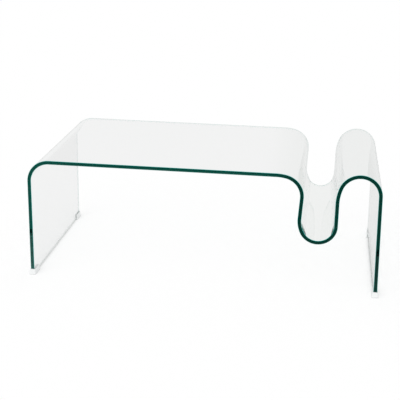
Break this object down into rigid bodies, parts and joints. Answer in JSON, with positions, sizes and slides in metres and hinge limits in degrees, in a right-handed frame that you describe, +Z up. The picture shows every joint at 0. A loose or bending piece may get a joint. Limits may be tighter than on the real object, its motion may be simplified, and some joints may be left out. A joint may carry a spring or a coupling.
{
  "type": "waterfall coffee table",
  "caption": "Clear bent-glass waterfall coffee table: a continuous sheet forms the legs, flat top, curved magazine pocket and rounded hump, and stands on clear plastic corner shoes.",
  "frame": {"origin": "on the floor, under the middle of the table's box", "axes": "+X along the table from the plain leg towards the pocket and hump, +Y across it from the front edge to the back edge, +Z up"},
  "size_m": [1.1518, 0.6092, 0.4048],
  "materials": {
    "float_glass": "clear float glass, hot-bent, faces fire-polished, cut edges ground and polished and dark green from within",
    "clear_plastic": "clear injection-moulded soft PVC, smooth, slightly milky at the walls",
    "bonding_pad": "clear acrylic bonding pad"
  },
  "bodies": {
    "root": {"bent_glass_sheet": "float_glass", "corner_shoe_front_left": "clear_plastic", "corner_shoe_back_left": "clear_plastic", "corner_shoe_front_right": "clear_plastic", "corner_shoe_back_right": "clear_plastic", "bonding_pad_front_left": "bonding_pad", "bonding_pad_back_left": "bonding_pad", "bonding_pad_front_right": "bonding_pad", "bonding_pad_back_right": "bonding_pad"}
  },
  "joints": []
}
